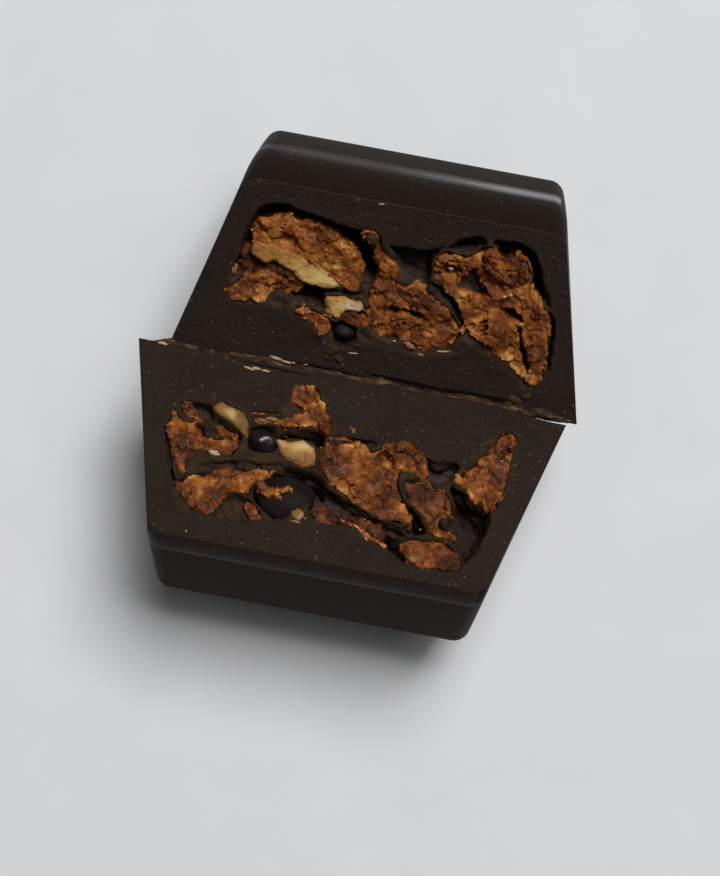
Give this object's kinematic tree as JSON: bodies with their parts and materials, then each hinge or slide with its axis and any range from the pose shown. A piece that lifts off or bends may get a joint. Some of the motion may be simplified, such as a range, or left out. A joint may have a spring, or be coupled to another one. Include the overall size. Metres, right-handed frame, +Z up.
{
  "type": "chocolate praline with nut brittle filling",
  "caption": "Moulded dark chocolate praline, cut across and folded open on its base like a tent, with nut brittle filling showing in both cut faces.",
  "frame": {"origin": "centre of the overall box, on the surface that the halves stand on", "axes": "+Z up, +X along the seam where the halves meet, +Y towards the half that leans more"},
  "size_m": [0.0322, 0.0352, 0.0202],
  "materials": {
    "chocolate": "dark chocolate, satin where it met the mould and matte where it was cut",
    "brittle": "glassy orange-brown caramel, porous and broken",
    "nut": "pale roasted nut, fine cut grain",
    "husk": "thin yellow-brown nut skin, satin"
  },
  "bodies": {
    "root": {"chocolate_shell": "chocolate", "brittle_far": "brittle", "brittle_near": "brittle", "almond_sliver_far": "nut", "nut_far": "nut", "nut_near": "nut", "nut_husk_near": "husk", "chocolate_drop_far": "chocolate", "chocolate_bead_near": "chocolate", "chocolate_drop_near": "chocolate"}
  },
  "joints": []
}
